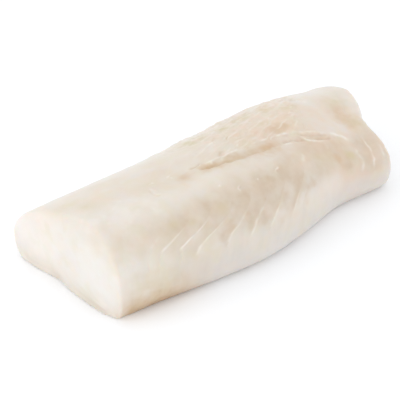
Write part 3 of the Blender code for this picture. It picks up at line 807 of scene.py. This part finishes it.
zones = {
    "tan": bandHere * (limits["bandLevel"] + shade * phase ** power * flakeShare
                       + strayed(limits["bandStray"])),
    "top": (limited("topPlace", place) * offCut * limited("topZ", z) * (1 - crestLine)
            * atLeast(limits["topLeast"], limited("topX", x)) * mottled(cloudy, *limits["topMottling"])),
    "cool": (1 - limited("coolZ", z)) * nearSide * limited("coolX", x),
    "streaky": (1 - limited("streakyZ", z)) * nearSide * offCut,
    # painted light and shade: the glow through the thin near foot and the shade where it turns under
    "band": (hill(z - glowZ, glowReach) * nearSide * limited("glowFront", x)
             * (1 - limited("glowRear", x))),
    # painted shade: the contact shadow along the near foot, where it meets the floor
    "foot": (hill(z, limits["footShadeHigh"]) * nearSide * limited("footShadeFront", x)
             * atLeast(limits["footShadeLeast"], 1 - limited("footShadeRear", x))),
    "cut": onCut * mottled(cloudy, *limits["cutMottling"]),
    "warm": limited("warmY", y) * atLeast(limits["warmLeast"], 1 - limited("warmFar", y)) * onCut,
    "milky": (np.maximum(limited("milkyPlace", place), limited("milkyRear", form["rearFace"]))
              * limits["milkyShare"] * (z > limits["milkyFrom"])),
    "rim": hill(x - rimLineX, rimLineReach) * limited("rimLineZ", z) * limited("rimLineY", y),
    "cutFoot": (onCut * hill(z, limits["cutFootHigh"])
                * np.clip(limits["cutFootLevel"] + strayed(limits["cutFootStray"]), 0.0, 1.0)),
    "raw": raw + limits["rawShare"] * torn * mottled(grain, *limits["rawMottling"]) * limited("rawX", x),
    "orange": np.zeros(x.shape),
    "peach": (torn * mottled(patchy, *limits["peachMottling"])
              + limits["peachShare"] * limited("peachX", x) * limited("peachZ", z)),
    "pale": ((1 - limited("paleX", x)) * limited("paleZ", z) * (1 - limited("paleTop", z))
             * nearSide * offCut),
    "yellow": limits["yellowShare"] * torn * mottled(patchy, *limits["yellowMottling"]),
    # also carries the pale painted on the shreds, partly a painted highlight for their glints
    "septum": np.clip(septum + lips, 0.0, 1.0),
}
patchFray = 0.35  # how uneven the edge of a patch is
for name, spots in patches.items():
    for spotX, spotY, spotZ, reach, strength in spots:
        away = np.sqrt((x - spotX) ** 2 + (y - spotY) ** 2 + (z - spotZ) ** 2)
        zones[name] = zones[name] + strength * hill(away * (1 + patchFray * patchy), reach)
print("zones:", list(zones))


# the mesh
def wrapGrid(name):
    rings, columns = x.shape
    bpy.ops.object.select_all(action="DESELECT")
    bpy.ops.mesh.primitive_grid_add(x_subdivisions=rings - 1, y_subdivisions=columns, size=2.0,
                                    calc_uvs=False, location=(0, 0, 0))
    made = bpy.context.object
    made.name = name
    flat = np.empty(len(made.data.vertices) * 3)
    made.data.vertices.foreach_get("co", flat)
    flat = flat.reshape(-1, 3)
    ring = np.round((flat[:, 0] + 1) / 2 * (rings - 1)).astype(int)
    column = np.round((flat[:, 1] + 1) / 2 * columns).astype(int) % columns
    made.data.vertices.foreach_set("co", (points[ring, column] * mm).ravel())
    for zone, values in zones.items():
        layer = made.data.attributes.new(zone, "FLOAT", "POINT")
        layer.data.foreach_set("value", np.clip(values, 0.0, 1.0)[ring, column])
    fibres = made.data.attributes.new("grain", "FLOAT_VECTOR", "POINT")
    fibres.data.foreach_set("vector", np.stack([edge, form["run"], place], 2)[ring, column].ravel() * mm)
    bpy.ops.object.mode_set(mode="EDIT")
    bpy.ops.mesh.select_all(action="SELECT")
    bpy.ops.mesh.remove_doubles(threshold=loin["weld"] * mm)
    bpy.ops.mesh.normals_make_consistent(inside=False)
    bpy.ops.object.mode_set(mode="OBJECT")
    bpy.ops.object.shade_smooth()
    return made


piece = wrapGrid("cod_loin_flesh")
print("mesh:", len(piece.data.vertices), "points", len(piece.data.polygons), "faces")

# flesh
flesh = {
    "cream": (0.79, 0.73, 0.655),  # the plain flesh drifts between these two
    "creamDeep": (0.72, 0.655, 0.565),
    "colours": {  # zone: colour, share
        "top": ((0.68, 0.58, 0.46), 0.4),
        "peach": ((0.77, 0.59, 0.455), 0.6),
        "cool": ((0.685, 0.65, 0.625), 0.7),
        "pale": ((0.83, 0.79, 0.735), 0.7),
        "cut": ((0.80, 0.765, 0.72), 0.8),
        "warm": ((0.87, 0.785, 0.70), 0.55),
        "rim": ((0.68, 0.61, 0.51), 0.25),
        "milky": ((0.80, 0.785, 0.765), 0.65),
        "cutFoot": ((0.60, 0.53, 0.44), 0.75),
        "tan": ((0.62, 0.50, 0.375), 0.75),
        "yellow": ((0.65, 0.565, 0.375), 0.7),
        "orange": ((0.62, 0.42, 0.25), 0.65),
        # painted light and shade: the warm orange of the glow and shade along the near foot
        "band": ((0.62, 0.44, 0.25), 0.8),
        # painted shade: the dark brown of the contact shadow along the near foot
        "foot": ((0.40, 0.25, 0.13), 0.7),
        "raw": ((0.54, 0.34, 0.17), 0.65),
        # also the pale of the shreds, partly a painted highlight for their glints
        "septum": ((0.88, 0.84, 0.78), 0.8),
    },
    "mottled": ("top", "peach", "tan", "band", "raw", "yellow", "orange"),
    "mottling": (0.45, 1.1),  # the least share, and what the blotches add
    "hues": (  # colour, size, place in the noise, share
        ((0.78, 0.65, 0.535), 6.0, 3.0, 0.25),
        ((0.72, 0.67, 0.51), 7.0, 9.0, 0.35),
        ((0.74, 0.705, 0.67), 10.0, 15.0, 0.4),
    ),
    "hueEdge": (0.48, 0.68),
    "streak": (0.645, 0.60, 0.555),
    "streakSize": (3.6, 16.0, 1.0),
    "streakEdge": (0.42, 0.62),
    "streakShare": 0.35,
    "cloudSize": 9.0,
    "blotchSize": 3.0,
    "fibreSize": (0.7, 7.0, 1.0),
    "grainSize": 0.5,
    "fibreBump": (0.5, 0.12),  # strength and depth
    "grainBump": (0.4, 0.06),
    "roughness": (0.34, 0.5),
    "subsurface": 0.7,
    "bleed": 3.0,
    "bleedColour": (1.0, 0.62, 0.42),
    "coat": 0.25,
    "coatRoughness": 0.3,
    "ior": 1.4,
}


def fleshMaterial():
    material = bpy.data.materials.new("codFlesh")
    material.use_nodes = True
    tree = material.node_tree
    shader = tree.nodes["Principled BSDF"]

    def add(kind, **settings):
        made = tree.nodes.new(kind)
        for name, value in settings.items():
            setattr(made, name, value)
        return made

    def reading(name, output="Fac"):
        return add("ShaderNodeAttribute", attribute_name=name).outputs[output]

    def work(operation, first, second):
        made = add("ShaderNodeMath", operation=operation)
        for socket, value in zip(made.inputs, (first, second)):
            if isinstance(value, (int, float)):
                socket.default_value = value
            else:
                tree.links.new(value, socket)
        return made.outputs[0]

    def blended(factor, under, over):
        made = add("ShaderNodeMix", data_type="RGBA")
        tree.links.new(factor, made.inputs["Factor"])
        for socket, value in ((made.inputs[6], under), (made.inputs[7], over)):
            if isinstance(value, tuple):
                socket.default_value = (*value, 1.0)
            else:
                tree.links.new(value, socket)
        return made.outputs[2]

    def clipped(value, low, high):  # 0 up to low, 1 from high on
        made = add("ShaderNodeMapRange", interpolation_type="SMOOTHSTEP")
        made.inputs["From Min"].default_value = low
        made.inputs["From Max"].default_value = high
        tree.links.new(value, made.inputs["Value"])
        return made.outputs["Result"]

    def bump(height, strength, deep):  # deep in millimetres
        made = add("ShaderNodeBump")
        made.inputs["Strength"].default_value = strength
        made.inputs["Distance"].default_value = deep * mm
        tree.links.new(height, made.inputs["Height"])
        return made

    def noiseOn(vector, size, detail=2.0, shift=0.0):  # size in millimetres along each way
        spread = add("ShaderNodeMapping")
        spread.inputs["Location"].default_value = (shift, 2 * shift, 3 * shift)
        spread.inputs["Scale"].default_value = [1 / (one * mm) for one in size]
        tree.links.new(vector, spread.inputs["Vector"])
        made = add("ShaderNodeTexNoise")
        made.inputs["Scale"].default_value = 1.0
        made.inputs["Detail"].default_value = detail
        tree.links.new(spread.outputs["Vector"], made.inputs["Vector"])
        return made.outputs["Fac"]

    spot = add("ShaderNodeTexCoord").outputs["Object"]
    way = reading("grain", "Vector")  # along the flakes, across them, and the place round the loin
    cloud = noiseOn(spot, (flesh["cloudSize"],) * 3, 3.0)
    blotch = noiseOn(spot, (flesh["blotchSize"],) * 3, 4.0)
    fibre = noiseOn(way, flesh["fibreSize"], 3.0)
    fine = noiseOn(spot, (flesh["grainSize"],) * 3)
    colour = blended(cloud, flesh["cream"], flesh["creamDeep"])
    ribbon = clipped(noiseOn(way, flesh["streakSize"]), *flesh["streakEdge"])
    colour = blended(work("MULTIPLY", work("MULTIPLY", reading("streaky"), ribbon), flesh["streakShare"]),
                     colour, flesh["streak"])
    least, blotches = flesh["mottling"]
    for zone, (shade, share) in flesh["colours"].items():
        strength = work("MULTIPLY", reading(zone), share)
        if zone in flesh["mottled"]:
            strength = work("MULTIPLY", strength, work("ADD", work("MULTIPLY", blotch, blotches), least))
        colour = blended(strength, colour, shade)
        if zone == "warm":  # the soft hues lie over the plain flesh and the cut, under the rest
            for hue, size, shift, share in flesh["hues"]:
                patch = clipped(noiseOn(spot, (size,) * 3, shift=shift), *flesh["hueEdge"])
                colour = blended(work("MULTIPLY", patch, share), colour, hue)
    tree.links.new(colour, shader.inputs["Base Color"])
    low, high = flesh["roughness"]
    tree.links.new(work("ADD", work("MULTIPLY", fine, high - low), low), shader.inputs["Roughness"])
    lines = bump(fibre, *flesh["fibreBump"])
    grains = bump(fine, *flesh["grainBump"])
    tree.links.new(lines.outputs["Normal"], grains.inputs["Normal"])
    tree.links.new(grains.outputs["Normal"], shader.inputs["Normal"])
    shader.inputs["Subsurface Weight"].default_value = flesh["subsurface"]
    shader.inputs["Subsurface Scale"].default_value = flesh["bleed"] * mm
    shader.inputs["Subsurface Radius"].default_value = flesh["bleedColour"]
    shader.inputs["Coat Weight"].default_value = flesh["coat"]
    shader.inputs["Coat Roughness"].default_value = flesh["coatRoughness"]
    shader.inputs["IOR"].default_value = flesh["ior"]
    return material


piece.data.materials.append(fleshMaterial())
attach(piece, "root")
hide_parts("cod_loin")
print("flesh made")

# floor, light and camera
studio = {
    "floorHalf": 3.0,
    "floorColour": (0.95, 0.965, 0.99),
    "floorTint": 0.01,  # how much lighter its specks are
    "floorSpecks": 400.0,
    "floorRoughness": 0.9,
    "floorSpecular": 0.1,
    "floorGlow": 0.06,
    "worldStrength": 1.01,
    "keyPlace": (-0.7, 0.16, 0.3),
    "keySize": 0.55,
    "keyPower": 0.8,
    "azimuth": -42.0,
    "elevation": 32.0,
    "distance": 0.5876,
    "lens": 145.0,
    "sensor": 36.0,
    "clipStart": 0.01,
    "look": (-0.01408, 0.00188, 0.0108),
}


def floorMaterial():
    material = bpy.data.materials.new("paleFloor")
    material.use_nodes = True
    tree = material.node_tree
    shader = tree.nodes["Principled BSDF"]
    place = tree.nodes.new("ShaderNodeTexCoord")
    speck = tree.nodes.new("ShaderNodeTexNoise")
    speck.inputs["Scale"].default_value = studio["floorSpecks"]
    tint = tree.nodes.new("ShaderNodeMix")
    tint.data_type = "RGBA"
    tint.inputs[6].default_value = (*studio["floorColour"], 1.0)
    tint.inputs[7].default_value = (*[one + studio["floorTint"] for one in studio["floorColour"]], 1.0)
    tree.links.new(place.outputs["Object"], speck.inputs["Vector"])
    tree.links.new(speck.outputs["Fac"], tint.inputs["Factor"])
    tree.links.new(tint.outputs[2], shader.inputs["Base Color"])
    shader.inputs["Roughness"].default_value = studio["floorRoughness"]
    shader.inputs["Specular IOR Level"].default_value = studio["floorSpecular"]
    shader.inputs["Emission Color"].default_value = (1.0, 1.0, 1.0, 1.0)
    shader.inputs["Emission Strength"].default_value = studio["floorGlow"]
    return material


bpy.ops.object.select_all(action="DESELECT")
bpy.ops.mesh.primitive_plane_add(size=2 * studio["floorHalf"], location=(0, 0, 0))
floor = bpy.context.object
floor.name = "floor"
floor.data.materials.append(floorMaterial())

world = bpy.data.worlds.new("studio")
bpy.context.scene.world = world
world.use_nodes = True
world.node_tree.nodes["Background"].inputs["Color"].default_value = (1.0, 1.0, 1.0, 1.0)
world.node_tree.nodes["Background"].inputs["Strength"].default_value = studio["worldStrength"]

bpy.ops.object.light_add(type="AREA", location=studio["keyPlace"])
key = bpy.context.object
key.name = "key"
key.data.shape = "DISK"
key.data.size = studio["keySize"]
key.data.energy = studio["keyPower"]
key.rotation_mode = "QUATERNION"
key.rotation_quaternion = (-Vector(studio["keyPlace"])).to_track_quat("-Z", "Y")

turn, tip = math.radians(studio["azimuth"]), math.radians(studio["elevation"])
back = Vector((math.sin(turn) * math.cos(tip), -math.cos(turn) * math.cos(tip), math.sin(tip)))
camera = bpy.data.objects.new("camera", bpy.data.cameras.new("camera"))
bpy.context.scene.collection.objects.link(camera)
camera.data.lens = studio["lens"]
camera.data.sensor_width = studio["sensor"]
camera.data.clip_start = studio["clipStart"]
camera.location = Vector(studio["look"]) + back * studio["distance"]
camera.rotation_mode = "QUATERNION"
camera.rotation_quaternion = (-back).to_track_quat("-Z", "Y")
bpy.context.scene.camera = camera
bpy.context.scene.view_settings.view_transform = "Standard"
print("studio set")
